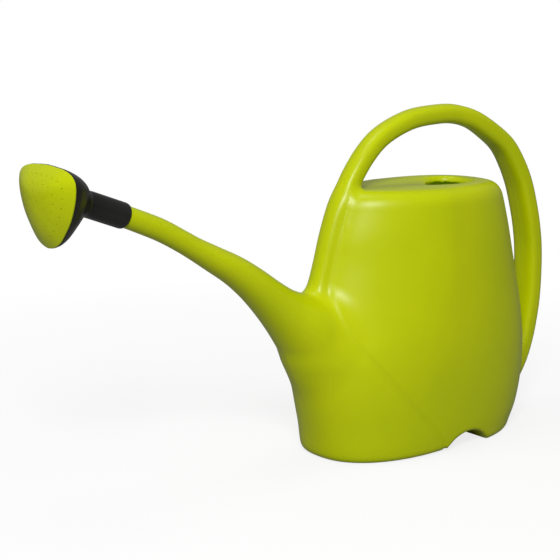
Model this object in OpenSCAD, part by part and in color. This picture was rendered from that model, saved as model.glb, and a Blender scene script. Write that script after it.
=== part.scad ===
// Garden watering can: one blow-moulded can with a full loop handle, and a push-on rose.
// X runs from the spout tip (-X) to the back of the handle (+X), Z is up, and the origin is
// the middle of the overall length and width, on the ground.

/* [Can body] */
// Height of the body's top deck above the ground
body_h = 279; // [200:1:320]
// Half-width of the body at its widest
belly_half_w = 79; // [60:1:110]
// Squareness of the body's plan, 2 is an ellipse
plan_power = 2.5; // [2:0.1:4]
// Thickness of the moulded wall
wall = 2.4; // [1.6:0.1:4]
// Depth of the dish around the filling hole
dish_depth = 3.5; // [0:0.5:15]

/* [Filling hole] */
// Length of the filling hole, front to back
fill_l = 50; // [30:1:70]
// Width of the filling hole
fill_w = 54; // [30:1:70]
// Position of the hole's middle, front to back
fill_x = 178; // [150:1:190]

/* [Underside grip] */
// Half-width of the arched grip under the back of the base
arch_half = 34; // [15:1:40]
// Height of the arch
arch_h = 18; // [6:1:25]
// Position of the arch, front to back
arch_x = 148; // [100:1:180]

/* [Handle] */
// Half-thickness of the handle tube, in the plane of the loop
grip_ht = 10.6; // [8:0.1:14]
// Half-width of the handle tube, across the can
grip_hw = 11.8; // [8:0.1:16]

/* [Spout] */
// Outer radius of the spout tip inside the rose
tip_r = 10.3; // [8:0.1:14]
// Bore radius of the spout tip
tip_bore = 8; // [5:0.1:12]
// Length of the spout tip inside the rose
tip_l = 33; // [15:1:45]
// Rise of the spout tip above the horizontal, degrees
tip_rise = 20.7; // [0:0.1:45]

/* [Rose] */
// Outer radius of the rose's socket
socket_r = 12.4; // [10:0.1:18]
// Length of the rose's socket
socket_l = 40; // [25:1:60]
// Radial clearance of the socket on the spout tip
fit = 0.06; // [0.02:0.01:0.10]
// Height of the domed face above its rim
dome_h = 14; // [6:1:25]
// Radius of one spray hole
spray_r = 0.7; // [0.4:0.1:1.5]

/* [Hidden] */

lime = [0.68, 0.74, 0.03];
black = [0.05, 0.05, 0.05];
rubber = [0.12, 0.12, 0.12];

belly_x = 122;        // where the body is widest
sides = 48;           // points around the body's plan
tube_sides = 24;      // points around the spout and the handle
rose_sides = 48;      // points around the rose's outline
split_x = -36;        // plane between the body and the spout
split_z = body_h + 2; // plane between the body and the handle above it
split_top = 120;      // plane between the front and the top of the handle
split_rear = 276;     // plane between the body and the back leg
split_deck = 262;     // the same plane beside the shoulder, and the height where it changes

// Levels of the body: height, front end, back end, half-width, squareness of the front
levels = [
    [0, 2, 246, belly_half_w - 11, 2.4], [3, -3, 251, belly_half_w - 7, 2.4],
    [10, -7, 256, belly_half_w - 4.5, 2.4], [30, -11, 266, belly_half_w - 2.5, 2.3],
    [60, -19, 273, belly_half_w - 1, 2.2], [92, -29, 274, belly_half_w, 2],
    [116, -34, 272, belly_half_w, 1.8], [150, -16, 266, belly_half_w - 1.5, 1.7],
    [200, 0, 254, belly_half_w - 5, 1.6], [body_h - 48, 8, 247, belly_half_w - 8, 1.6],
    [body_h - 22, 18, 240, belly_half_w - 11, 1.6], [body_h - 10, 25, 234, belly_half_w - 16, 1.6],
    [body_h - 4, 34, 226, belly_half_w - 24, 1.6], [body_h - 1.5, 46, 216, belly_half_w - 35, 1.6]];

// Cuts through the spout: upper edge x and z, lower edge x and z, half-width
tip_at = [-231.5, 275.5];
spout_cuts = [
    [tip_at[0] + tip_r * sin(tip_rise), tip_at[1] + tip_r * cos(tip_rise),
     tip_at[0] - tip_r * sin(tip_rise), tip_at[1] - tip_r * cos(tip_rise), tip_r],
    [-191, 270, -200, 250.5, 11], [-167, 257, -177, 238, 12.3], [-149, 247, -160, 227.5, 13.5],
    [-126, 236, -140, 214, 15.5], [-101, 224, -118, 199, 18.5], [-78, 210, -98, 182, 22],
    [-56, 195, -80, 163, 25], [-37, 184, -62, 141, 28], [-19, 178, -48, 119, 30],
    [2, 174, -38, 101, 31], [28, 168, -22, 88, 27], [50, 160, 0, 92, 20]];

// Centre line of the handle, from the front of the body over the top to the back of the base
handle_line = [
    [-11, 147], [-6, 167], [0, 187], [6, 207], [13, 232], [22, 257], [31, 273], [43, 293], [58, 312],
    [76, 328], [98, 339], [124, 347], [152, 350], [182, 350], [212, 343], [239, 329],
    [263, 312], [280, 290], [293, 266], [302, 240], [308, 217], [312, 192], [313, 164],
    [312, 135], [308, 109], [302, 85], [293, 63], [279, 44], [258, 32]];

// Crease where the spout's root meets the body's side, from the front to the base: x, z
crease_line = [[-2, 152], [12, 132], [26, 113], [40, 95], [54, 77], [68, 60], [83, 42], [100, 22]];

// Outline of the rose: angle from straight down, distance from the rim's middle
rose_out = [[0, 46], [24, 44.5], [48, 42.5], [74, 45], [90, 48.5], [99, 50.8], [106, 52],
            [111, 51.5], [117, 49], [124, 44.5], [135, 38], [148, 32.5], [165, 29.2], [180, 28.5]];
rim_at = [-309, 300];
neck_at = [tip_at[0] - socket_l * cos(tip_rise), tip_at[1] + socket_l * sin(tip_rise)];

// ---- curves and lofts ----

// Point at fraction t of piece i of a smooth curve through the points p
function on_curve(p, i, t) =
    let (a = p[max(i - 1, 0)], b = p[i], c = p[i + 1], d = p[min(i + 2, len(p) - 1)])
    0.5 * (2 * b + (c - a) * t + (2 * a - 5 * b + 4 * c - d) * t * t
           + (3 * b - a - 3 * c + d) * t * t * t);

// A smooth curve through the points p, with m steps to each piece
function smooth(p, m) =
    [for (i = [0:len(p) - 2], s = [0:m - 1]) on_curve(p, i, s / m), p[len(p) - 1]];

function bow(c, n) = sign(c) * pow(abs(c), 2 / n);

// A level outline from x0 to x1, widest (b) at xm, pulled in by w, with squareness f in front
function oval(z, x0, xm, x1, b, f, w) =
    [for (i = [0:sides - 1]) let (t = 360 * i / sides, n = cos(t) < 0 ? f : plan_power)
        [xm + ((cos(t) < 0 ? xm - x0 : x1 - xm) - w) * bow(cos(t), n), (b - w) * bow(sin(t), n), z]];

// Outline of the filling hole, a rounded leaf with its point to the front
function fill_line(w) =
    oval(0, fill_x - fill_l / 2, fill_x + fill_l / 10, fill_x + fill_l / 2, fill_w / 2, 1.7, w);

function blend(a, b, s, z) =
    [for (i = [0:len(a) - 1]) [a[i][0] * (1 - s) + b[i][0] * s, a[i][1] * (1 - s) + b[i][1] * s, z]];

// A solid skin over a stack of rings, closed by its first and last ring
module loft(rings) {
    n = len(rings[0]);
    m = len(rings);
    polyhedron(
        points = [for (r = rings) each r],
        faces = concat([[for (j = [0:n - 1]) j]],
            [for (i = [0:m - 2], j = [0:n - 1]) let (k = (j + 1) % n)
                each [[i * n + j, (i + 1) * n + j, (i + 1) * n + k],
                      [i * n + j, (i + 1) * n + k, i * n + k]]],
            [[for (j = [n - 1:-1:0]) (m - 1) * n + j]]));
}

// A tube-like skin whose last ring joins its first
module loft_loop(rings) {
    n = len(rings[0]);
    m = len(rings);
    polyhedron(
        points = [for (r = rings) each r],
        faces = [for (i = [0:m - 1], j = [0:n - 1]) let (k = (j + 1) % n, u = (i + 1) % m)
            each [[i * n + j, u * n + j, u * n + k], [i * n + j, u * n + k, i * n + k]]]);
}

// ---- the moulded can ----

// The body, pulled in by w: the sides, the rounded shoulder and the dished deck
module body_form(w) {
    rows = smooth(levels, 2);
    fill = fill_line(1.5);
    last = rows[len(rows) - 1];
    top = oval(0, last[1], belly_x, last[2], last[3], last[4], w);
    loft(concat(
        [for (r = rows) oval(max(r[0] - (r[0] > body_h / 2 ? w : 0), w), r[1], belly_x, r[2], r[3], r[4], w)],
        [for (d = [[0.2, 0], [0.45, 0.1], [0.7, 0.45], [0.9, 0.85], [1, 1]])
            blend(top, fill, d[0], body_h - w - dish_depth * d[1])]));
}

module spout_form(w) {
    cuts = smooth(spout_cuts, 2);
    loft([for (c = cuts)
        let (mx = (c[0] + c[2]) / 2, mz = (c[1] + c[3]) / 2,
             l = norm([c[0] - c[2], c[1] - c[3]]) / 2, f = (l - w) / l)
        [for (i = [0:tube_sides - 1]) let (t = 360 * i / tube_sides)
            [mx + (c[0] - mx) * f * cos(t), -(c[4] - w) * sin(t), mz + (c[1] - mz) * f * cos(t)]]]);
}

module handle_form(w) {
    line = smooth(handle_line, 2);
    m = len(line);
    loft([for (i = [0:m - 1])
        let (a = line[max(i - 1, 0)], b = line[min(i + 1, m - 1)], d = (b - a) / norm(b - a))
        [for (j = [0:tube_sides - 1]) let (t = 360 * j / tube_sides)
            [line[i][0] - d[1] * (grip_ht - w) * bow(cos(t), 2.4),
             -(grip_hw - w) * bow(sin(t), 2.4),
             line[i][1] + d[0] * (grip_ht - w) * bow(cos(t), 2.4)]]]);
}

// Half-width of the body in front of its widest point, at x and height z
function side_y(x, z) =
    let (f = lookup(z, [for (l = levels) [l[0], l[4]]]), x0 = lookup(z, [for (l = levels) [l[0], l[1]]]))
    lookup(z, [for (l = levels) [l[0], l[3]]]) * pow(1 - pow((belly_x - x) / (belly_x - x0), f), 1 / f);

// The raised crease down each side of the body
module crease(side) {
    for (i = [0:len(crease_line) - 2]) hull() for (p = [crease_line[i], crease_line[i + 1]])
        translate([p[0], side * (side_y(p[0], p[1]) - 1.2), p[1]]) sphere(r = 2, $fn = 8);
}

// The arch under the back of the base, grown by w
module grip_arch(w) {
    r = (arch_half * arch_half + arch_h * arch_h) / (2 * arch_h);
    translate([arch_x, 0, arch_h - r]) rotate([90, 0, 0])
        cylinder(r = r + w, h = 4 * belly_half_w, center = true, $fn = 96);
}

module moulding() {
    difference() {
        union() {
            body_form(0);
            spout_form(0);
            handle_form(0);
            crease(-1);
            crease(1);
        }
        difference() {
            union() {
                body_form(wall);
                spout_form(wall);
                handle_form(wall);
            }
            grip_arch(wall);
        }
        grip_arch(0);
        translate([fill_x, 0, body_h - 30]) linear_extrude(40)
            polygon([for (p = fill_line(0)) [p[0] - fill_x, p[1]]]);
        // the spout's mouth, where the tip carries on
        translate([tip_at[0], 0, tip_at[1]]) rotate([0, -90 + tip_rise, 0])
            translate([0, 0, -12]) cylinder(r = tip_bore, h = 20, $fn = 24);
    }
}

// Everything between two corners
module zone(x0, x1, z0, z1) translate([x0, -200, z0]) cube([x1 - x0, 400, z1 - z0]);

// Everything in front of the back leg and below the handle
module body_zone() {
    zone(split_x, split_rear, -1, split_deck);
    zone(split_x, split_deck, -1, split_z);
}

module can_body() {
    color(lime) intersection() {
        moulding();
        body_zone();
    }
}

module spout() {
    color(lime) intersection() {
        moulding();
        zone(-400, split_x, -1, split_z + 60);
    }
}

module handle_front() {
    color(lime) intersection() {
        moulding();
        zone(split_x, split_top, split_z, 400);
    }
}

module handle_top() {
    color(lime) intersection() {
        moulding();
        zone(split_top, 400, split_z, 400);
    }
}

module handle_rear() {
    color(lime) intersection() {
        moulding();
        difference() {
            zone(split_deck, 400, -1, split_z);
            body_zone();
        }
    }
}

// ---- the tip and the rose ----

// Places a part on the spout tip's axis, with +Z out of the tip
module on_tip() translate([tip_at[0], 0, tip_at[1]]) rotate([0, tip_rise - 90, 0]) children();

module spout_tip() {
    color(lime) on_tip() difference() {
        cylinder(r = tip_r, h = tip_l, $fn = 96);
        translate([0, 0, -1]) cylinder(r = tip_bore, h = tip_l + 2, $fn = 96);
    }
}

// A rubber ring in a groove inside the socket
module seal_ring() {
    color(rubber) on_tip() translate([0, 0, 10]) rotate_extrude($fn = 96)
        translate([tip_r + fit, 0]) square([1.0, 2.4]);
}

module rose_socket() {
    color(black) on_tip() difference() {
        rotate_extrude($fn = 96) difference() {
            union() {
                translate([0, 3]) square([socket_r, socket_l - 3]);
                square([socket_r - 3, 3]);
                translate([socket_r - 3, 3]) circle(r = 3, $fn = 48);
            }
            translate([-20, -1]) square([20, socket_l + 2]);
        }
        translate([0, 0, -1]) cylinder(r = tip_r + fit, h = tip_l + 1.5, $fn = 96);
        cylinder(r = tip_bore, h = socket_l + 2, $fn = 96);
        translate([0, 0, 9.7]) cylinder(r = tip_r + fit + 1.06, h = 3, $fn = 96);
    }
}

// Distance of the rose's outline from its middle, at angle t from straight down
function rose_r(t) = lookup(t > 180 ? 360 - t : t, rose_out);

// A ring of the rose, between the neck's circle (s = 0) and the rim (s = 1)
function horn_ring(s, m, r0, w) =
    [for (i = [0:rose_sides - 1])
        let (t = 360 * i / rose_sides,
             ax = [-cos(tip_rise), sin(tip_rise)], up = [sin(tip_rise), cos(tip_rise)],
             c = [neck_at[0] * (1 - s) + rim_at[0] * s, neck_at[1] * (1 - s) + rim_at[1] * s],
             r = r0 * (1 - m) + (rose_r(t) - w) * m,
             lean = [up[0] * (1 - s), up[1] * (1 - s) + s])
        [c[0] - r * cos(t) * lean[0], -r * sin(t), c[1] - r * cos(t) * lean[1]]];

horn_steps = [[0, 0], [0.1, 0.02], [0.2, 0.1], [0.3, 0.26], [0.42, 0.46], [0.56, 0.66],
              [0.7, 0.82], [0.84, 0.93], [0.94, 0.98], [1, 1]];

module rose_horn() {
    k = len(horn_steps);
    color(black) loft_loop(concat(
        [for (p = horn_steps) horn_ring(p[0], p[1], socket_r - 0.6, 0)],
        [for (i = [k - 1:-1:0]) let (p = horn_steps[i])
            horn_ring(i == 0 ? 0 : p[0] * 0.985 + 0.015 * (i == k - 1 ? 1 : 0), p[1], tip_bore + 1, 2)]));
}

// A ring of the face at fraction k of the rim, standing h in front of it
function face_ring(k, h, w) =
    [for (i = [0:rose_sides - 1]) let (t = 360 * i / rose_sides, r = (rose_r(t) - w) * k)
        [rim_at[0] - h, -r * sin(t), rim_at[1] - r * cos(t)]];

function dome(k) = dome_h * (1 - pow(k, 2.2));

// Rings of spray holes: share of the outline's size, number of holes, the first one's offset in
// steps from straight down. They are drawn round the outline's centre, a little below rim_at.
spray_rings = [[0.13, 3, 0], [0.335, 10, 0], [0.54, 18, 0.5], [0.745, 24, 0.5]];
spray_low = 6.4;

// Outline points, y and z, every 3 degrees, and the length of the outline up to each of them
outline = [for (t = [0:3:360]) [rose_r(t) * sin(t), -rose_r(t) * cos(t) + spray_low]];
run = [for (i = 0, d = 0; i < len(outline);
            d = d + (i + 1 < len(outline) ? norm(outline[i + 1] - outline[i]) : 0), i = i + 1) [d, i]];

// Outline point at fraction u of its length
function outline_at(u) =
    let (q = lookup(u * run[len(run) - 1][0], run), i = min(floor(q), len(outline) - 2))
    outline[i] * (1 - q + i) + outline[i + 1] * (q - i);

module rose_face() {
    ks = [1, 0.97, 0.9, 0.8, 0.65, 0.5, 0.35, 0.2, 0.06];
    color(lime) difference() {
        loft(concat([face_ring(1, -5, 5.4), face_ring(1, 0.3, 4.6), face_ring(1, 0.4, 0.2)],
            [for (k = ks) face_ring(k, 1.8 + dome(k), 0.2)]));
        loft(concat([face_ring(1, -6, 6.9), face_ring(1, 0.4, 6.2)],
            [for (k = ks) face_ring(k, 0.3 + dome(k) * 0.95, 6.2)]));
        for (g = spray_rings, i = [0:g[1] - 1])
            let (p = outline_at((i + g[2]) / g[1]) * g[0])
            hull() for (h = [-2, dome_h + 6]) translate(
                [rim_at[0] - h, p[0] * (1 + 0.004 * h), rim_at[1] - spray_low + p[1] * (1 + 0.004 * h)])
                rotate([0, 90, 0]) cylinder(r = spray_r, h = 0.2, $fn = 6);
    }
}

can_body();
spout();
handle_front();
handle_top();
handle_rear();
spout_tip();
seal_ring();
rose_socket();
rose_horn();
rose_face();
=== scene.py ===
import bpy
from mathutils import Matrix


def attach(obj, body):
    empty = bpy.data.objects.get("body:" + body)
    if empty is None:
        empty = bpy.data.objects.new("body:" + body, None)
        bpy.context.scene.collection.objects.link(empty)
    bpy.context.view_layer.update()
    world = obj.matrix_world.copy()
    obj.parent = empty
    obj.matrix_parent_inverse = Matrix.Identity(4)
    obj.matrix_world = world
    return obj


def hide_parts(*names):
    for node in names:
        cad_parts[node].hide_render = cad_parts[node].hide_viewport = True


bl_info = {
    "name": "Moulded Watering Can",
    "version": (1, 0, 0),
    "blender": (4, 5, 0),
    "location": "View3D > Sidebar > Watering Can",
    "description": "Builds the finished skin of a blow-moulded watering can and its rose",
    "category": "Object",
}

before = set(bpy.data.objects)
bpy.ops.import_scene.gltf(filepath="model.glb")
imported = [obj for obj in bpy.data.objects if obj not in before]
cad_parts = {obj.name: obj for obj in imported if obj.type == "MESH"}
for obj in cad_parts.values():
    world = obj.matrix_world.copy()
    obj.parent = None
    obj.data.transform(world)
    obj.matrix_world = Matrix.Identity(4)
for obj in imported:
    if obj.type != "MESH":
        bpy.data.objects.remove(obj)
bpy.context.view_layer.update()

import math

import bmesh
import bpy
import numpy as np
from bpy.props import FloatProperty, FloatVectorProperty, IntProperty, PointerProperty
from mathutils import Vector

MM = 0.001

# ---- shape of the moulding, in millimetres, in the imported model's frame ----

DECK_H = 279.0     # height of the top deck
BELLY_X = 122.0    # where the body is widest
BELLY_W = 79.0     # half of its greatest width
BACK_POWER = 2.5   # squareness of the body's back

# Levels of the body: height, front end, back end, half-width, squareness of the front
BODY_LEVELS = [
    (-12, -2, 247, BELLY_W - 7.5, 2.4), (10, -7, 256, BELLY_W - 4.5, 2.4),
    (30, -11, 266, BELLY_W - 2.5, 2.3), (60, -19, 273, BELLY_W - 1, 2.2),
    (92, -29, 274, BELLY_W, 2), (116, -34, 272, BELLY_W, 1.8),
    (150, -16, 266, BELLY_W - 1.5, 1.7), (200, 0, 254, BELLY_W - 5, 1.6),
    (231, 8, 247, BELLY_W - 8, 1.6), (257, 17, 240, BELLY_W - 11, 1.6),
    (279, 24, 233, BELLY_W - 14, 1.6), (300, 30, 226, BELLY_W - 17, 1.6)]

# Cuts through the spout, tip first: upper edge x and z, lower edge x and z, half-width
TIP = (-231.5, 275.5)
TIP_R = 10.3
TIP_RISE = math.radians(20.7)
TIP_OUT = (-math.cos(TIP_RISE), math.sin(TIP_RISE))
SPOUT_CUTS = [
    (TIP[0] + TIP_R * TIP_OUT[1], TIP[1] - TIP_R * TIP_OUT[0],
     TIP[0] - TIP_R * TIP_OUT[1], TIP[1] + TIP_R * TIP_OUT[0], TIP_R),
    (-191, 270, -200, 250.5, 11), (-167, 257, -177, 238, 12.3), (-149, 247, -160, 227.5, 13.5),
    (-126, 236, -140, 214, 15.5), (-101, 224, -118, 199, 18.5), (-78, 210, -98, 182, 22),
    (-56, 195, -80, 163, 25.5), (-37, 184, -62, 141, 30), (-19, 178, -45, 117, 36),
    (2, 174, -30, 92, 40), (28, 168, -10, 76, 40), (50, 160, 12, 72, 28)]

# Centre line of the loop handle, from the front of the body to the back of the base: x, z
HANDLE_LINE = [
    (-11, 147), (-6, 167), (0, 187), (6, 207), (13, 232), (22, 257), (31, 273), (43, 293),
    (58, 312), (76, 328), (98, 339), (124, 347), (152, 350), (182, 350), (212, 343),
    (239, 329), (263, 312), (280, 290), (293, 266), (302, 240), (308, 217), (312, 192),
    (313, 164), (312, 135), (308, 109), (302, 85), (293, 63), (279, 44), (258, 32)]
GRIP_T, GRIP_W = 10.4, 11.8   # half-thickness in the loop's plane, half-width across
GRIP_POWER = 2.5              # squareness of its section
LEG_FROM, LEG_OVER = 190.0, 100.0   # where the loop starts to widen to the back leg, over what
LEG_W, LEG_POWER = 4.5, 1.0         # half-width and squareness that the back leg gains

# Crease between the belly and the spout's root, from the front down to the base: x, z
CREASE_LINE = [(17, 240), (8, 212), (1, 186), (-2, 168), (-1, 154), (3, 142), (8, 131),
               (15, 121), (23, 112), (32, 101), (43, 87), (60, 67), (80, 46), (96, 28), (112, 9)]
CREASE_STEP, CREASE_FADE = 0.9, 38.0   # sharpness of its step, reach of the sunk side

# Filling hole, a rounded leaf with its point to the front, and the arch under the base
FILL_FRONT, FILL_WIDE, FILL_BACK, FILL_HALF, FILL_POWER = 153.0, 183.0, 203.0, 27.0, 1.7
ARCH_X, ARCH_HALF, ARCH_H, ARCH_ROUND = 148.0, 34.0, 18.0, 3.5

# Dish in the deck round that hole: how far it reaches to the front, the back and each side
DISH_FRONT, DISH_BACK, DISH_SIDE = 76.0, 94.0, 44.0

# Room that the skin's grid covers, and the wider room of the flat maps behind it
GRID_X, GRID_Y, GRID_Z = (-250, 328), 84, (-7, 366)
MAP_X, MAP_Z = (-262.0, 346.0), (-16.0, 384.0)
SMOOTH_ANGLE = 38   # degrees; sharper edges of the moulding are shaded as edges

# Outline of the rose: angle from straight down, distance from the rim's middle
ROSE_OUT = [(0, 46), (24, 44.5), (48, 42.5), (74, 45), (90, 48.5), (99, 50.8), (106, 52),
            (111, 51.5), (117, 49), (124, 44.5), (135, 38), (148, 32.5), (165, 29.2), (180, 28.5)]
RIM = (-309.0, 300.0)
SOCKET_R, SOCKET_L, FIT = 12.4, 40.0, 0.06
NECK = (TIP[0] + SOCKET_L * TIP_OUT[0], TIP[1] + SOCKET_L * TIP_OUT[1])


# ---- settings ----

class CanSizes(bpy.types.PropertyGroup):
    wall: FloatProperty(
        name="Wall", description="Thickness of the moulded wall",
        default=0.0024, min=0.001, max=0.005, unit="LENGTH", subtype="DISTANCE")
    skin_step: FloatProperty(
        name="Skin spacing", description="Spacing of the points on the outside of the can",
        default=0.0025, min=0.0018, max=0.008, unit="LENGTH", subtype="DISTANCE")
    cavity_step: FloatProperty(
        name="Cavity spacing", description="Spacing of the points on the inside of the can",
        default=0.0045, min=0.003, max=0.01, unit="LENGTH", subtype="DISTANCE")
    shoulder_round: FloatProperty(
        name="Shoulder rounding", description="Width of the rounding between the sides and the deck",
        default=0.017, min=0.005, max=0.04, unit="LENGTH", subtype="DISTANCE")
    foot_round: FloatProperty(
        name="Foot rounding", description="Width of the rounding round the underside",
        default=0.008, min=0.002, max=0.02, unit="LENGTH", subtype="DISTANCE")
    root_fillet: FloatProperty(
        name="Spout fillet", description="Width of the blend where the spout leaves the body",
        default=0.018, min=0.002, max=0.06, unit="LENGTH", subtype="DISTANCE")
    handle_fillet: FloatProperty(
        name="Handle fillet", description="Width of the blend where the handle meets the body",
        default=0.009, min=0.002, max=0.02, unit="LENGTH", subtype="DISTANCE")
    dish_depth: FloatProperty(
        name="Dish depth", description="Depth of the dish around the filling hole",
        default=0.0052, min=0.0, max=0.015, unit="LENGTH", subtype="DISTANCE")
    crease_depth: FloatProperty(
        name="Crease depth", description="Step of the crease between the belly and the spout's root",
        default=0.0017, min=0.0, max=0.004, unit="LENGTH", subtype="DISTANCE")
    parting_w: FloatProperty(
        name="Parting line width", description="Width of the ridge left where the mould halves meet",
        default=0.0012, min=0.0004, max=0.004, unit="LENGTH", subtype="DISTANCE")
    parting_h: FloatProperty(
        name="Parting line height", description="Height of that ridge",
        default=0.00015, min=0.0, max=0.001, unit="LENGTH", subtype="DISTANCE")


class RoseSizes(bpy.types.PropertyGroup):
    dome_h: FloatProperty(
        name="Dome height", description="Height of the domed face above its rim",
        default=0.0138, min=0.005, max=0.02, unit="LENGTH", subtype="DISTANCE")
    spray_r: FloatProperty(
        name="Spray hole radius", description="Radius of one spray hole",
        default=0.0007, min=0.0003, max=0.0015, unit="LENGTH", subtype="DISTANCE")
    around: IntProperty(
        name="Points around", description="Points around the rose's outline",
        default=144, min=48, max=288)


class Finishes(bpy.types.PropertyGroup):
    lime: FloatVectorProperty(
        name="Lime", description="Colour of the lime plastic",
        default=(0.47, 0.535, 0.0), size=3, min=0, max=1, subtype="COLOR")
    lime_deep: FloatVectorProperty(
        name="Deep lime", description="Colour of the lime plastic where the pigment is denser",
        default=(0.43, 0.505, 0.0), size=3, min=0, max=1, subtype="COLOR")
    black: FloatVectorProperty(
        name="Black", description="Colour of the rose's housing",
        default=(0.0045, 0.0045, 0.004), size=3, min=0, max=1, subtype="COLOR")
    black_worn: FloatVectorProperty(
        name="Worn black", description="Colour of the rubbed places on the housing",
        default=(0.012, 0.012, 0.011), size=3, min=0, max=1, subtype="COLOR")
    rubber: FloatVectorProperty(
        name="Rubber", description="Colour of the sealing ring",
        default=(0.02, 0.02, 0.02), size=3, min=0, max=1, subtype="COLOR")


class StageLook(bpy.types.PropertyGroup):
    floor: FloatVectorProperty(
        name="Floor", description="Colour of the floor",
        default=(0.9, 0.9, 0.9), size=3, min=0, max=1, subtype="COLOR")
    sky: FloatProperty(
        name="Surround", description="Brightness of the light from the surround",
        default=0.27, min=0, max=4)
    key_power: FloatProperty(
        name="Key light", description="Power of the large lamp in front on the left",
        default=76.0, min=0, max=500, unit="POWER")
    top_power: FloatProperty(
        name="Top light", description="Power of the lamp above",
        default=7.0, min=0, max=500, unit="POWER")
    lens: FloatProperty(
        name="Lens", description="Focal length of the camera",
        default=90.0, min=20, max=200, unit="CAMERA")


# ---- curves and fields ----

def smooth_line(points, steps):
    """A smooth curve through the points, with steps pieces between each two."""
    p = np.asarray(points, float)
    pad = np.vstack([p[:1], p, p[-1:]])
    t = (np.arange(steps) / steps)[:, None]
    rows = [0.5 * (2 * b + (c - a) * t + (2 * a - 5 * b + 4 * c - d) * t ** 2
                   + (3 * b - a - 3 * c + d) * t ** 3)
            for a, b, c, d in zip(pad, pad[1:], pad[2:], pad[3:])]
    return np.vstack(rows + [p[-1:]])


def join_soft(a, b, k):
    """Union of two fields, with a fillet about k wide."""
    h = np.clip(0.5 + 0.5 * (b - a) / k, 0, 1)
    return b + (a - b) * h - k * h * (1 - h)


def cut_soft(a, b, k):
    """Intersection of two fields, with a rounding about k wide."""
    return -join_soft(-a, -b, k)


def nearest_on_line(line, x, z):
    """Distance from points to a line of short pieces, with the signed side of it."""
    best, side = np.full(x.shape, 1e9), np.zeros(x.shape)
    for (ax, az), (bx, bz) in zip(line[:-1], line[1:]):
        dx, dz = bx - ax, bz - az
        t = np.clip(((x - ax) * dx + (z - az) * dz) / (dx * dx + dz * dz), 0, 1)
        d = np.hypot(x - ax - t * dx, z - az - t * dz)
        near = d < best
        best = np.where(near, d, best)
        side = np.where(near, np.sign(dx * (z - az) - dz * (x - ax)), side)
    return best, side


class SideMaps:
    """Values that depend only on x and z, kept on a fine flat grid and read between its points."""

    def __init__(self, step=1.0):
        self.x0, self.z0, self.step = MAP_X[0], MAP_Z[0], step
        xs = np.arange(*MAP_X, step)
        zs = np.arange(*MAP_Z, step)
        x, z = np.meshgrid(xs, zs, indexing="ij")
        self.maps = {"handle": nearest_on_line(smooth_line(HANDLE_LINE, 6), x, z)[0]}
        crease, side = nearest_on_line(smooth_line(CREASE_LINE, 5), x, z)
        self.maps["crease"] = crease * side
        self.spout(x, z)

    def spout(self, x, z):
        """The spout's cut through each point: place along it, its half-length and half-width."""
        c = smooth_line(SPOUT_CUTS, 16)
        back = np.array([TIP_OUT[0], TIP_OUT[1], TIP_OUT[0], TIP_OUT[1], 0]) * 14
        c = np.vstack([c[:1] + back, c])
        mid = (c[:, 0:2] + c[:, 2:4]) / 2
        half = (c[:, 0:2] - c[:, 2:4]) / 2
        length = np.linalg.norm(half, axis=1)
        unit = half / length[:, None]
        on = np.stack([unit[:, 1], -unit[:, 0]], 1)
        best = np.full(x.shape, 1e9)
        out = [np.zeros(x.shape) for _ in range(3)]
        ahead = on[0, 0] * (x - mid[0, 0]) + on[0, 1] * (z - mid[0, 1])
        first = ahead
        for i in range(len(c) - 1):
            j = i + 1
            then = on[j, 0] * (x - mid[j, 0]) + on[j, 1] * (z - mid[j, 1])
            f = np.clip(ahead / np.where(abs(ahead - then) < 1e-9, 1e-9, ahead - then), 0, 1)
            mx = mid[i, 0] + (mid[j, 0] - mid[i, 0]) * f
            mz = mid[i, 1] + (mid[j, 1] - mid[i, 1]) * f
            ux = unit[i, 0] + (unit[j, 0] - unit[i, 0]) * f
            uz = unit[i, 1] + (unit[j, 1] - unit[i, 1]) * f
            along = ux * (x - mx) + uz * (z - mz)
            hl = length[i] + (length[j] - length[i]) * f
            miss = np.where((ahead >= 0) & (then < 0), abs(along) / hl, 1e9)
            if i == 0:
                miss = np.where(ahead < 0, 1e8, miss)
            if j == len(c) - 1:
                miss = np.where((then >= 0) & (best > 1e8), 1e8, miss)
            near = miss < best
            best = np.where(near, miss, best)
            for o, v in zip(out, (along, hl, c[i, 4] + (c[j, 4] - c[i, 4]) * f)):
                o[near] = np.broadcast_to(v, x.shape)[near]
            ahead = then
        self.maps["along"], self.maps["half"], self.maps["wide"] = out
        self.maps["ends"] = np.maximum(-first, ahead)

    def read(self, name, x, z):
        m = self.maps[name]
        u = np.clip((x - self.x0) / self.step, 0, m.shape[0] - 1.001)
        v = np.clip((z - self.z0) / self.step, 0, m.shape[1] - 1.001)
        i, j = u.astype(int), v.astype(int)
        f, g = u - i, v - j
        return ((m[i, j] * (1 - f) + m[i + 1, j] * f) * (1 - g)
                + (m[i, j + 1] * (1 - f) + m[i + 1, j + 1] * f) * g)


def tube_field(a, b, ra, rb, power):
    """Rough distance outside a rounded section with half-sizes ra and rb, at offsets a and b."""
    rho = np.sqrt(a * a + b * b) + 1e-6
    g = ((abs(a) / ra) ** power + (abs(b) / rb) ** power) ** (1 / power) + 1e-9
    return rho - rho / g


def leaf_outline(count):
    """Points round the filling hole's edge."""
    t = np.linspace(0, math.tau, count, endpoint=False)
    n = np.where(np.cos(t) < 0, FILL_POWER, BACK_POWER)
    half = np.where(np.cos(t) < 0, FILL_WIDE - FILL_FRONT, FILL_BACK - FILL_WIDE)
    return np.stack([
        FILL_WIDE + half * np.sign(np.cos(t)) * abs(np.cos(t)) ** (2 / n),
        FILL_HALF * np.sign(np.sin(t)) * abs(np.sin(t)) ** (2 / n)], 1).tolist()


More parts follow.
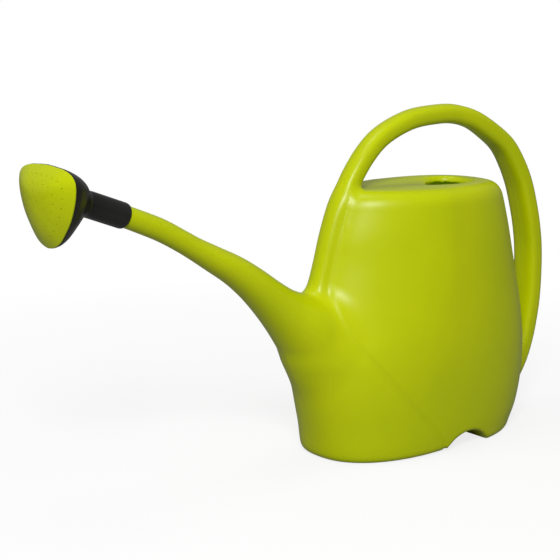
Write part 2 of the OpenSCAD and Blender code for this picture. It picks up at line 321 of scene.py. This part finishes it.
def leaf_reach(x, y):
    """1 on the filling hole's edge, less inside it, more outside."""
    half = np.where(x < FILL_WIDE, FILL_WIDE - FILL_FRONT, FILL_BACK - FILL_WIDE)
    n = np.where(x < FILL_WIDE, FILL_POWER, BACK_POWER)
    return ((abs(x - FILL_WIDE) / half) ** n + (abs(y) / FILL_HALF) ** n) ** (1 / n)


class CanField:
    """The can's outside as one field: below 0 is inside, and values are near millimetres."""

    def __init__(self, sizes):
        self.sizes = {k: getattr(sizes, k) / MM for k in (
            "shoulder_round", "foot_round", "root_fillet", "handle_fillet",
            "dish_depth", "crease_depth")}
        self.levels = smooth_line(BODY_LEVELS, 12)
        self.maps = SideMaps()

    def level(self, z, column):
        return np.interp(z, self.levels[:, 0], self.levels[:, column])

    def body(self, x, y, z):
        s = self.sizes
        front, back, wide, power = (self.level(z, c) for c in (1, 2, 3, 4))
        half = np.where(x < BELLY_X, BELLY_X - front, back - BELLY_X)
        n = np.where(x < BELLY_X, power, BACK_POWER)
        u, v = abs(x - BELLY_X), abs(y)
        rho = np.sqrt(u * u + v * v) + 1e-6
        g = ((u / half) ** n + (v / wide) ** n) ** (1 / n) + 1e-9
        sides = rho - rho / g
        # the dish runs from the deck's edge down to the filling hole
        top = np.where(x < BELLY_X, (BELLY_X - x) / DISH_FRONT, (x - BELLY_X) / DISH_BACK)
        edge = np.sqrt(top * top + (y / DISH_SIDE) ** 2)
        leaf = np.maximum(leaf_reach(x, y) - 1, 0)
        toward = np.clip((1 - edge) / np.maximum(1 - edge + leaf * 0.5, 1e-3), 0, 1)
        toward = np.where(edge >= 1, 0, toward)
        dish = s["dish_depth"] * toward ** 3
        d = cut_soft(sides, z - DECK_H + dish, s["shoulder_round"])
        d = cut_soft(d, -z, s["foot_round"])
        r = (ARCH_HALF ** 2 + ARCH_H ** 2) / (2 * ARCH_H)
        arch = r - np.sqrt((x - ARCH_X) ** 2 + (z - ARCH_H + r) ** 2)
        return cut_soft(d, arch, ARCH_ROUND)

    def __call__(self, x, y, z):
        return self.at(x, y, z, lambda name: self.maps.read(name, x, z))

    def at(self, x, y, z, read):
        """The field, with the flat maps' values at these points from read(name)."""
        s = self.sizes
        d = self.body(x, y, z)
        spout = tube_field(read("along"), y, read("half"), read("wide"), 2.0)
        spout = cut_soft(spout, read("ends"), 3)
        d = join_soft(d, spout, s["root_fillet"])
        # the belly stands a little proud of the spout's root along the crease
        off = read("crease")
        step = 1 / (1 + np.exp(np.clip(off / CREASE_STEP, -30, 30)))
        d = d + s["crease_depth"] * step * np.exp(np.minimum(off, 0) / CREASE_FADE)
        back = np.clip((x - LEG_FROM) / LEG_OVER, 0, 1)
        handle = tube_field(read("handle"), y, GRIP_T, GRIP_W + LEG_W * back,
                            GRIP_POWER + LEG_POWER * back)
        return join_soft(d, handle, s["handle_fillet"])

    def slope(self, p, e=0.15):
        x, y, z = p.T
        return np.stack([self(x + e, y, z) - self(x - e, y, z),
                         self(x, y + e, z) - self(x, y - e, z),
                         self(x, y, z + e) - self(x, y, z - e)], 1) / (2 * e)


def wrap(values, origin, step, level):
    """Points and quads of the surface where a field on a grid crosses level."""
    values = values - level
    inside = values < 0
    cells = tuple(n - 1 for n in values.shape)
    total = int(np.prod(cells))
    weight, place = np.zeros(total), np.zeros((total, 3))
    faces = []
    for axis in range(3):
        lo = [slice(None)] * 3
        hi = [slice(None)] * 3
        lo[axis], hi[axis] = slice(None, -1), slice(1, None)
        lo, hi = tuple(lo), tuple(hi)
        at = np.argwhere(inside[lo] != inside[hi])
        f0 = values[lo][tuple(at.T)]
        f1 = values[hi][tuple(at.T)]
        spot = at.astype(float)
        spot[:, axis] += f0 / (f0 - f1)
        b, c = (axis + 1) % 3, (axis + 2) % 3
        ring, fits = [], np.ones(len(at), bool)
        for db, dc in ((-1, -1), (0, -1), (0, 0), (-1, 0)):
            cell = at.copy()
            cell[:, b] += db
            cell[:, c] += dc
            good = ((cell >= 0) & (cell < cells)).all(1)
            flat = np.ravel_multi_index(tuple(np.clip(cell, 0, np.array(cells) - 1).T), cells)
            weight += np.bincount(flat[good], minlength=total)
            for k in range(3):
                place[:, k] += np.bincount(flat[good], spot[good, k], minlength=total)
            ring.append(flat)
            fits &= good
        quad = np.stack(ring, 1)[fits]
        out = (f0 < 0)[fits]
        faces.append(np.where(out[:, None], quad, quad[:, ::-1]))
    used = np.flatnonzero(weight)
    number = np.full(total, -1)
    number[used] = np.arange(len(used))
    points = place[used] / weight[used, None] * step + origin
    return points, number[np.vstack(faces)]


def settle(points, quads, field, level, rounds):
    """Evens out the points and puts them exactly on the surface."""
    pairs = np.vstack([quads[:, [0, 1]], quads[:, [1, 2]], quads[:, [2, 3]], quads[:, [3, 0]]])
    count = np.bincount(pairs[:, 0], minlength=len(points))
    for _ in range(rounds):
        mean = np.stack([np.bincount(pairs[:, 0], points[pairs[:, 1], k], minlength=len(points))
                         for k in range(3)], 1) / count[:, None]
        slope = field.slope(points)
        slope /= np.linalg.norm(slope, axis=1)[:, None] + 1e-9
        shift = mean - points
        shift -= (shift * slope).sum(1)[:, None] * slope
        points = points + 0.6 * shift
        for _ in range(2):
            slope = field.slope(points)
            off = field(*points.T) - level
            points = points - slope * (off / ((slope ** 2).sum(1) + 1e-9))[:, None]
    return points


def can_skin(field, step, level, rounds):
    """Points and quads of the can's surface at a depth of -level below its outside."""
    xs = np.arange(GRID_X[0], GRID_X[1] + step, step)
    ys = (np.arange(-math.ceil(GRID_Y / step), math.ceil(GRID_Y / step)) + 0.5) * step
    zs = np.arange(GRID_Z[0], GRID_Z[1] + step, step)
    x, z = np.meshgrid(xs, zs, indexing="ij")
    flat = {name: field.maps.read(name, x, z)[:, None, :] for name in field.maps.maps}
    values = field.at(xs[:, None, None], ys[None, :, None], zs[None, None, :], flat.get)
    points, quads = wrap(values, np.array([xs[0], ys[0], zs[0]]), step, level)
    return settle(points, quads, field, level, rounds), quads


# ---- mesh helpers ----

def new_piece(name, points, faces, material, smooth_angle):
    """A piece of the skin, from an array of points in millimetres and a list of faces."""
    mesh = bpy.data.meshes.new(name)
    mesh.from_pydata((points * MM).tolist(), [], faces)
    mesh.materials.append(material)
    finish_mesh(mesh, smooth_angle)
    piece = bpy.data.objects.new(name, mesh)
    bpy.context.scene.collection.objects.link(piece)
    return piece


def finish_mesh(mesh, angle):
    """Smooth shading, apart from edges that turn by more than angle degrees."""
    mesh.validate()
    mesh.update()
    mesh.polygons.foreach_set("use_smooth", [True] * len(mesh.polygons))
    mesh.set_sharp_from_angle(angle=math.radians(angle))


def ring_faces(rings, around, closed=False):
    """Quads between stacked rings, each of around points."""
    out = []
    for i in range(rings if closed else rings - 1):
        u = (i + 1) % rings
        for j in range(around):
            k = (j + 1) % around
            out.append((i * around + j, i * around + k, u * around + k, u * around + j))
    return out


def cut_away(piece, cutters):
    """Takes the cutters' solids out of a piece."""
    for cutter in cutters:
        mod = piece.modifiers.new("cut", "BOOLEAN")
        mod.operation, mod.solver, mod.object = "DIFFERENCE", "MANIFOLD", cutter
    graph = bpy.context.evaluated_depsgraph_get()
    mesh = bpy.data.meshes.new_from_object(piece.evaluated_get(graph))
    piece.modifiers.clear()
    old, piece.data = piece.data, mesh
    mesh.name = piece.name
    bpy.data.meshes.remove(old)
    for cutter in cutters:
        shape = cutter.data
        bpy.data.objects.remove(cutter)
        bpy.data.meshes.remove(shape)
    if not mesh.polygons:
        raise RuntimeError(f"{piece.name} was lost in the cut")


def prism(name, outline, low, high):
    """A solid between two levels with the given plan."""
    n = len(outline)
    points = [(x, y, low) for x, y in outline] + [(x, y, high) for x, y in outline]
    faces = [tuple(range(n - 1, -1, -1)), tuple(range(n, 2 * n))]
    faces += [(j, (j + 1) % n, n + (j + 1) % n, n + j) for j in range(n)]
    return plain_solid(name, points, faces)


def plain_solid(name, points, faces):
    mesh = bpy.data.meshes.new(name)
    mesh.from_pydata([tuple(v * MM for v in p) for p in points], [], faces)
    mesh.update()
    piece = bpy.data.objects.new(name, mesh)
    bpy.context.scene.collection.objects.link(piece)
    return piece


def rod(name, base, way, radius, length, sides):
    """A round solid from base along way."""
    way = Vector(way).normalized()
    a = way.orthogonal().normalized()
    b = way.cross(a)
    ring = [(a * math.cos(t) + b * math.sin(t)) * radius
            for t in (math.tau * i / sides for i in range(sides))]
    base = Vector(base)
    points = [base + r for r in ring] + [base + way * length + r for r in ring]
    faces = [tuple(range(sides - 1, -1, -1)), tuple(range(sides, 2 * sides))]
    faces += [(j, (j + 1) % sides, sides + (j + 1) % sides, sides + j) for j in range(sides)]
    return plain_solid(name, points, faces)


# ---- finishes ----

def mix_colour(tree, factor, a, b):
    mix = tree.nodes.new("ShaderNodeMix")
    mix.data_type = "RGBA"
    tree.links.new(factor, mix.inputs["Factor"])
    for socket, value in (("A", a), ("B", b)):
        target = [s for s in mix.inputs if s.name == socket and s.type == "RGBA"][0]
        if isinstance(value, bpy.types.NodeSocket):
            tree.links.new(value, target)
        else:
            target.default_value = (*value, 1)
    return [s for s in mix.outputs if s.type == "RGBA"][0]


def noise(tree, scale, detail=2.0, rough=0.5, stretch=None):
    """Noise in the piece's own coordinates; scale is in waves to a metre."""
    coords = tree.nodes.new("ShaderNodeTexCoord").outputs["Object"]
    if stretch:
        mapping = tree.nodes.new("ShaderNodeMapping")
        mapping.inputs["Scale"].default_value = stretch
        tree.links.new(coords, mapping.inputs["Vector"])
        coords = mapping.outputs["Vector"]
    tex = tree.nodes.new("ShaderNodeTexNoise")
    tex.inputs["Scale"].default_value = scale
    tex.inputs["Detail"].default_value = detail
    tex.inputs["Roughness"].default_value = rough
    tree.links.new(coords, tex.inputs["Vector"])
    return tex.outputs["Fac"]


def remap(tree, value, a, b, c, d):
    """Value with the range a to b stretched to c to d."""
    node = tree.nodes.new("ShaderNodeMapRange")
    for k, v in zip(("From Min", "From Max", "To Min", "To Max"), (a, b, c, d)):
        node.inputs[k].default_value = v
    tree.links.new(value, node.inputs["Value"])
    return node.outputs["Result"]


def bump(tree, height, distance, strength, under=None):
    node = tree.nodes.new("ShaderNodeBump")
    node.inputs["Distance"].default_value = distance
    node.inputs["Strength"].default_value = strength
    tree.links.new(height, node.inputs["Height"])
    if under is not None:
        tree.links.new(under, node.inputs["Normal"])
    return node.outputs["Normal"]


def moulded_plastic(name, main, second, rough, grain, wave, gloss=0.5, scatter=0.0):
    """Moulded plastic: slow pigment clouds, a fine mould grain, soft sink marks and light rubbing."""
    mat = bpy.data.materials.new(name)
    mat.use_nodes = True
    tree = mat.node_tree
    shader = tree.nodes["Principled BSDF"]
    cloud = remap(tree, noise(tree, 9, 3), 0.35, 0.65, 0, 1)
    rub = remap(tree, noise(tree, 210, 4, 0.65, (1, 1, 0.35)), 0.62, 0.74, 0, 1)
    colour = mix_colour(tree, cloud, main, second)
    tree.links.new(colour, shader.inputs["Base Color"])
    base = remap(tree, noise(tree, 38, 4, 0.6), 0.3, 0.7, rough - 0.035, rough + 0.05)
    add = tree.nodes.new("ShaderNodeMath")
    add.operation = "MULTIPLY_ADD"
    tree.links.new(rub, add.inputs[0])
    add.inputs[1].default_value = 0.07
    tree.links.new(base, add.inputs[2])
    tree.links.new(add.outputs[0], shader.inputs["Roughness"])
    normal = bump(tree, noise(tree, 34, 1), wave, 0.5)
    normal = bump(tree, noise(tree, 1500, 2), grain, 0.35, normal)
    tree.links.new(normal, shader.inputs["Normal"])
    shader.inputs["IOR"].default_value = 1.5
    shader.inputs["Specular IOR Level"].default_value = gloss
    if scatter:
        shader.inputs["Subsurface Weight"].default_value = scatter
        shader.inputs["Subsurface Radius"].default_value = (1.0, 1.0, 0.15)
        shader.inputs["Subsurface Scale"].default_value = 0.004
    return mat


def kept(name, make):
    """A material made once and used again by later operators."""
    return bpy.data.materials.get(name) or make()


def lime_plastic():
    f = bpy.context.scene.can_finishes
    return kept("lime_polyethylene", lambda: moulded_plastic(
        "lime_polyethylene", f.lime, f.lime_deep, rough=0.31, grain=0.00005, wave=0.0001,
        gloss=0.22, scatter=0.1))


def lime_inside_painted_glow():
    """The cavity's finish, with a painted glow: a weak lime emission that stands in for the light that
    comes through the thin walls.
    """
    def make():
        f = bpy.context.scene.can_finishes
        mat = moulded_plastic("lime_cavity_painted_glow", f.lime_deep, f.lime, rough=0.5, grain=0.00005,
                              wave=0.0002, gloss=0.22)
        shader = mat.node_tree.nodes["Principled BSDF"]
        # painted glow: the cavity emits a little lime light in place of light let through the walls
        shader.inputs["Emission Color"].default_value = (0.32, 0.55, 0.0, 1)
        shader.inputs["Emission Strength"].default_value = 0.09
        return mat
    return kept("lime_cavity_painted_glow", make)


def black_plastic():
    f = bpy.context.scene.can_finishes
    return kept("black_housing_plastic", lambda: moulded_plastic(
        "black_housing_plastic", f.black, f.black_worn, rough=0.3, grain=0.00005, wave=0.0001,
        gloss=0.35))


def black_rubber():
    f = bpy.context.scene.can_finishes
    return kept("seal_rubber_black", lambda: moulded_plastic(
        "seal_rubber_black", f.rubber, f.black_worn, rough=0.7, grain=0.00008, wave=0.0001))


def refinish(node, material):
    """Gives a kept CAD node a better material."""
    piece = bpy.data.objects[node]
    if not piece.material_slots:
        piece.data.materials.append(material)
    for slot in piece.material_slots:
        slot.material = material


# ---- operators ----

class WATERCAN_OT_moulding(bpy.types.Operator):
    """Build the blow-moulded can: body, spout and loop handle in one hollow skin"""
    bl_idname = "watercan.moulding"
    bl_label = "Moulded can"

    def execute(self, context):
        s = context.scene.can_sizes
        field = CanField(s)
        wall = s.wall / MM
        outer, outer_quads = can_skin(field, s.skin_step / MM, 0.0, 3)
        inner, inner_quads = can_skin(field, s.cavity_step / MM, -wall, 2)
        points = np.vstack([outer, inner])
        quads = np.vstack([outer_quads, inner_quads[:, ::-1] + len(outer)])
        can = new_piece("can_moulding", points, quads.tolist(), lime_plastic(), SMOOTH_ANGLE)
        can.data.materials.append(lime_inside_painted_glow())
        finish = [0] * len(outer_quads) + [1] * len(inner_quads)
        can.data.polygons.foreach_set("material_index", finish)
        hole = prism("hole_cutter", leaf_outline(120), DECK_H - 25, DECK_H + 15)
        end = rod("end_cutter", (TIP[0], 0, TIP[1]), (TIP_OUT[0], 0, TIP_OUT[1]), 40, 60, 48)
        cut_away(can, [hole, end])
        self.parting_line(can.data, field, s.parting_w, s.parting_h)
        finish_mesh(can.data, SMOOTH_ANGLE)
        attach(can, "can")
        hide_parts("can_body", "spout", "handle_front", "handle_top", "handle_rear")
        return {"FINISHED"}

    @staticmethod
    def parting_line(mesh, field, width, height):
        """Raises a thin ridge on the outside all round the plane between the mould halves."""
        bm = bmesh.new()
        bm.from_mesh(mesh)
        for y in (-width / 2, 0.0, width / 2):
            bmesh.ops.bisect_plane(
                bm, geom=bm.verts[:] + bm.edges[:] + bm.faces[:], dist=1e-6,
                plane_co=(0, y, 0), plane_no=(0, 1, 0))
        bm.normal_update()
        middle = [v for v in bm.verts if abs(v.co.y) < 1e-6]
        place = np.array([v.co[:] for v in middle]) / MM
        # not on the cavity's side of the wall, nor on the foot
        outside = (field(*place.T) > -0.8) & (place[:, 2] > 2)
        for v, out in zip(middle, outside):
            if out and not any(e.calc_face_angle(0) > 0.6 for e in v.link_edges):
                v.co += Vector((v.normal.x, 0, v.normal.z)).normalized() * height
        bm.to_mesh(mesh)
        bm.free()


def rose_reach(t):
    """Distance of the rose's outline from its middle, at angle t in radians from straight down."""
    deg = np.degrees(np.mod(t, math.tau))
    deg = np.where(deg > 180, 360 - deg, deg)
    line = smooth_line(ROSE_OUT, 8)
    return np.interp(deg, line[:, 0], line[:, 1])


class WATERCAN_OT_rose_housing(bpy.types.Operator):
    """Build the black housing of the rose: the socket and the flared horn in one moulding"""
    bl_idname = "watercan.rose_housing"
    bl_label = "Rose housing"

    # Horn from the neck (0) to the rim (1): place along it, share of the rim's outline
    STEPS = [(0, 0), (0.1, 0.02), (0.2, 0.1), (0.3, 0.26), (0.42, 0.46), (0.56, 0.66),
             (0.7, 0.82), (0.84, 0.93), (0.94, 0.98), (1, 1)]
    BACK = 4.0                  # length of the socket's rounded back end
    PASSAGE_R = 8.0             # radius of the water way from the tip's stop to the horn
    STOP = 33.5                 # place along the socket where the tip stops
    GROOVE = (9.7, 12.7, 1.06)  # the seal ring's groove: start, end, depth

    def ring(self, s, m, r0, w, t):
        """Ring at s from neck to rim, with m of the outline less w, and the rest round with r0."""
        up = (TIP_OUT[1], -TIP_OUT[0])
        cx = NECK[0] * (1 - s) + RIM[0] * s
        cz = NECK[1] * (1 - s) + RIM[1] * s
        r = r0 * (1 - m) + (rose_reach(t) - w) * m
        lx, lz = up[0] * (1 - s), up[1] * (1 - s) + s
        return np.stack([cx - r * np.cos(t) * lx, -r * np.sin(t), cz - r * np.cos(t) * lz], 1)

    def collar(self, along, r, t):
        """Round ring of radius r, along the socket from its back end."""
        up = (TIP_OUT[1], -TIP_OUT[0])
        cx, cz = TIP[0] + along * TIP_OUT[0], TIP[1] + along * TIP_OUT[1]
        return np.stack([cx - r * np.cos(t) * up[0], -r * np.sin(t), cz - r * np.cos(t) * up[1]], 1)

    def execute(self, context):
        n = context.scene.rose_sizes.around
        t = np.arange(n) * math.tau / n
        steps = smooth_line(self.STEPS, 5)
        bore = TIP_R + FIT
        rings = [self.collar(0.25, bore + 0.2, t), self.collar(0, bore + 0.5, t)]
        for a in np.linspace(0, math.pi / 2, 9)[1:]:
            flat = SOCKET_R - 2.0 * (1 - math.sin(a))
            rings.append(self.collar(self.BACK * (1 - math.cos(a)), max(flat, bore + 0.6), t))
        rings += [self.collar(a, SOCKET_R, t) for a in np.linspace(self.BACK + 2, SOCKET_L - 4, 9)]
        rings += [self.ring(s, m, SOCKET_R - 0.1 * min(1, s * 8), 0, t) for s, m in steps]
        for w, inwards in ((0.6, -0.35), (1.4, -0.35), (2.0, 0.2)):
            ring = self.ring(1, 1, SOCKET_R, w, t)
            ring[:, 0] += inwards
            rings.append(ring)
        inner = [p for p in steps[::-1] if p[0] < 0.97]
        rings += [self.ring(s * 0.985, m, 9.0, 2.0, t) for s, m in inner]
        start, end, depth = self.GROOVE
        rings += [self.collar(a, r, t) for a, r in (
            (SOCKET_L - 3, self.PASSAGE_R), (self.STOP, self.PASSAGE_R), (self.STOP, bore),
            (end, bore), (end, bore + depth), (start, bore + depth), (start, bore))]
        points = np.vstack(rings)
        piece = new_piece("rose_housing", points, ring_faces(len(rings), n, True), black_plastic(), 50)
        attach(piece, "rose")
        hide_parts("rose_socket", "rose_horn")
        return {"FINISHED"}


class WATERCAN_OT_rose_face(bpy.types.Operator):
    """Build the domed lime face of the rose with its rings of spray holes"""
    bl_idname = "watercan.rose_face"
    bl_label = "Rose face"

    # Rings of spray holes: share of the outline, number, first one's offset in steps from the bottom
    SPRAY = [(0.13, 3, 0), (0.335, 10, 0), (0.54, 18, 0.5), (0.745, 24, 0.5)]
    SPRAY_LOW = 6.4      # how far the rings' middle lies below the rim's
    SPREAD = 0.004       # how much the holes fan out, for each millimetre ahead
    SIDES = 14           # sides of one hole
    # Edge of the plate, from the inside out: place ahead of the rim, inset from the outline
    EDGE = [(-5, 5.4), (0.3, 4.6), (0.4, 1.0), (0.5, 0.5), (0.9, 0.25)]

    def ring(self, k, h, w, t):
        """Ring at height h ahead of the rim, with share k of the outline less w."""
        r = (rose_reach(t) - w) * k
        return np.stack([np.full(len(t), RIM[0]) - h, -r * np.sin(t), RIM[1] - r * np.cos(t)], 1)

    def holes(self, radius):
        """The spray holes' cutters, evenly spaced round each ring."""
        t = np.radians(np.arange(0, 361, 2))
        r = rose_reach(t)
        line = np.stack([r * np.sin(t), -r * np.cos(t) + self.SPRAY_LOW], 1)
        run = np.concatenate([[0], np.cumsum(np.linalg.norm(np.diff(line, axis=0), axis=1))])
        points, faces = [], []
        for share, count, first in self.SPRAY:
            u = (np.arange(count) + first) / count * run[-1]
            for y, z in zip(np.interp(u, run, line[:, 0]) * share,
                            np.interp(u, run, line[:, 1]) * share):
                base, sides = len(points), self.SIDES
                for x in (RIM[0] + 4, RIM[0] - 24):
                    spread = 1 + self.SPREAD * (RIM[0] - x)
                    points += [(x, y * spread + radius * math.cos(a),
                                RIM[1] - self.SPRAY_LOW + z * spread + radius * math.sin(a))
                               for a in (math.tau * i / sides for i in range(sides))]
                faces += [tuple(base + i for i in range(sides)),
                          tuple(base + 2 * sides - 1 - i for i in range(sides))]
                faces += [(base + (i + 1) % sides, base + i, base + sides + i,
                           base + sides + (i + 1) % sides) for i in range(sides)]
        return plain_solid("spray_cutters", points, faces)

    def execute(self, context):
        sizes = context.scene.rose_sizes
        n = sizes.around
        t = np.arange(n) * math.tau / n
        dome = sizes.dome_h / MM
        rings = [self.ring(1, h, w, t) for h, w in self.EDGE]
        ks = [1, 0.995, 0.985, 0.97] + list(np.linspace(0.94, 0.02, 30))
        rings += [self.ring(k, 1.8 + dome * (1 - k ** 2.2), 0.3, t) for k in ks]
        inner = [self.ring(k, 0.3 + dome * 0.95 * (1 - k ** 2.2), 6.2, t) for k in ks[::-2]]
        tip = len(rings) - 1
        rings += inner + [self.ring(1, 0.4, 6.2, t), self.ring(1, -5, 6.9, t)]
        points = np.vstack(rings)
        # the middle is closed by a cap on each side, not by a wall between the two skins
        faces = [f for f in ring_faces(len(rings), n, True) if f[0] // n != tip]
        faces += [tuple(tip * n + j for j in range(n)),
                  tuple((tip + 1) * n + j for j in reversed(range(n)))]
        piece = new_piece("rose_face_plate", points, faces, lime_plastic(), 40)
        cut_away(piece, [self.holes(sizes.spray_r / MM)])
        finish_mesh(piece.data, 40)
        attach(piece, "face")
        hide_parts("rose_face")
        return {"FINISHED"}


class WATERCAN_OT_tip_and_seal(bpy.types.Operator):
    """Finish the spout's tip and the sealing ring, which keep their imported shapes"""
    bl_idname = "watercan.tip_and_seal"
    bl_label = "Spout tip and seal"

    def execute(self, context):
        refinish("spout_tip", lime_plastic())
        refinish("seal_ring", black_rubber())
        return {"FINISHED"}


class WATERCAN_OT_stage(bpy.types.Operator):
    """Lay the pale floor and set the lamps, the surround and the camera"""
    bl_idname = "watercan.stage"
    bl_label = "Stage"

    AIM = Vector((-0.052, 0.0, 0.195))
    AZIMUTH, ELEVATION, DISTANCE = math.radians(-38), math.radians(11), 1.4
    FLOOR_HALF = 9.0
    FLOOR_DIM = 0.3   # share of the floor's colour that lights the can

    def lamp(self, name, place, target, size, power):
        data = bpy.data.lights.new(name, "AREA")
        data.shape, data.size, data.energy = "DISK", size, power
        lamp = bpy.data.objects.new(name, data)
        bpy.context.scene.collection.objects.link(lamp)
        lamp.location = place
        lamp.rotation_euler = (Vector(target) - lamp.location).to_track_quat("-Z", "Y").to_euler()

    def white_beyond(self, tree, shader, share):
        """Shows plain white in place of a shader, for a share of it, without lighting the can."""
        path = tree.nodes.new("ShaderNodeLightPath").outputs["Is Camera Ray"]
        if share is not None:
            both = tree.nodes.new("ShaderNodeMath")
            both.operation = "MULTIPLY"
            tree.links.new(path, both.inputs[0])
            tree.links.new(share, both.inputs[1])
            path = both.outputs[0]
        white = tree.nodes.new("ShaderNodeEmission")
        mix = tree.nodes.new("ShaderNodeMixShader")
        tree.links.new(path, mix.inputs[0])
        tree.links.new(shader, mix.inputs[1])
        tree.links.new(white.outputs[0], mix.inputs[2])
        out = [n for n in tree.nodes if n.type in ("OUTPUT_MATERIAL", "OUTPUT_WORLD")][0]
        tree.links.new(mix.outputs[0], out.inputs["Surface"])

    def execute(self, context):
        scene = context.scene
        look = scene.stage_look
        mat = bpy.data.materials.new("floor_paint")
        mat.use_nodes = True
        tree = mat.node_tree
        shader = tree.nodes["Principled BSDF"]
        tone = remap(tree, noise(tree, 3, 2), 0.3, 0.7, 0, 1)
        pale = tuple(c * 0.985 for c in look.floor)
        seen = tree.nodes.new("ShaderNodeLightPath").outputs["Is Camera Ray"]
        paint = mix_colour(tree, tone, look.floor, pale)
        dim = tuple(c * self.FLOOR_DIM for c in look.floor)
        tree.links.new(mix_colour(tree, seen, dim, paint), shader.inputs["Base Color"])
        shader.inputs["Roughness"].default_value = 0.85
        # far from the can the floor fades into the white surround
        away = tree.nodes.new("ShaderNodeVectorMath")
        away.operation = "LENGTH"
        tree.links.new(tree.nodes.new("ShaderNodeTexCoord").outputs["Object"], away.inputs[0])
        fade = remap(tree, away.outputs["Value"], 0.3, 1.0, 0.8, 1)
        self.white_beyond(tree, shader.outputs[0], fade)
        r = self.FLOOR_HALF
        mesh = bpy.data.meshes.new("floor")
        mesh.from_pydata([(-r, -r, 0), (r, -r, 0), (r, r, 0), (-r, r, 0)], [], [(0, 1, 2, 3)])
        mesh.materials.append(mat)
        floor = bpy.data.objects.new("floor", mesh)
        scene.collection.objects.link(floor)

        world = bpy.data.worlds.new("white_surround")
        world.use_nodes = True
        world.node_tree.nodes["Background"].inputs["Color"].default_value = (1, 1, 1, 1)
        world.node_tree.nodes["Background"].inputs["Strength"].default_value = look.sky
        self.white_beyond(world.node_tree, world.node_tree.nodes["Background"].outputs[0], None)
        scene.world = world
        scene.view_settings.view_transform = "Standard"
        self.lamp("key_lamp", (-1.6, -1.8, 1.9), (0.05, 0, 0.15), 0.9, look.key_power)
        self.lamp("top_lamp", (-0.3, 0.1, 1.9), (0.05, 0, 0.2), 0.8, look.top_power)

        data = bpy.data.cameras.new("camera")
        data.sensor_width, data.lens = 36, look.lens
        camera = bpy.data.objects.new("camera", data)
        scene.collection.objects.link(camera)
        way = Vector((math.sin(self.AZIMUTH) * math.cos(self.ELEVATION),
                      -math.cos(self.AZIMUTH) * math.cos(self.ELEVATION),
                      math.sin(self.ELEVATION)))
        camera.location = self.AIM + way * self.DISTANCE
        camera.rotation_euler = (-way).to_track_quat("-Z", "Y").to_euler()
        scene.camera = camera
        return {"FINISHED"}


class WATERCAN_PT_panel(bpy.types.Panel):
    """Lists the pieces of the watering can with their sizes and colours"""
    bl_idname = "WATERCAN_PT_panel"
    bl_label = "Watering Can"
    bl_space_type = "VIEW_3D"
    bl_region_type = "UI"
    bl_category = "Watering Can"

    def draw(self, context):
        layout = self.layout
        for name in OPERATORS:
            layout.operator(f"watercan.{name}")
        for group in SETTINGS:
            box = layout.box()
            settings = getattr(context.scene, group)
            for key in settings.bl_rna.properties.keys():
                if key not in ("rna_type", "name"):
                    box.prop(settings, key)


SETTINGS = {"can_sizes": CanSizes, "rose_sizes": RoseSizes, "can_finishes": Finishes,
            "stage_look": StageLook}
OPERATORS = ("moulding", "rose_housing", "rose_face", "tip_and_seal", "stage")
CLASSES = (*SETTINGS.values(), WATERCAN_OT_moulding, WATERCAN_OT_rose_housing,
           WATERCAN_OT_rose_face, WATERCAN_OT_tip_and_seal, WATERCAN_OT_stage,
           WATERCAN_PT_panel)


def register():
    for cls in CLASSES:
        bpy.utils.register_class(cls)
    for name, group in SETTINGS.items():
        setattr(bpy.types.Scene, name, PointerProperty(type=group))


def unregister():
    for name in SETTINGS:
        delattr(bpy.types.Scene, name)
    for cls in reversed(CLASSES):
        bpy.utils.unregister_class(cls)


def main():
    register()
    for name in OPERATORS:
        getattr(bpy.ops.watercan, name)()
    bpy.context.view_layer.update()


if __name__ == "__main__":
    main()
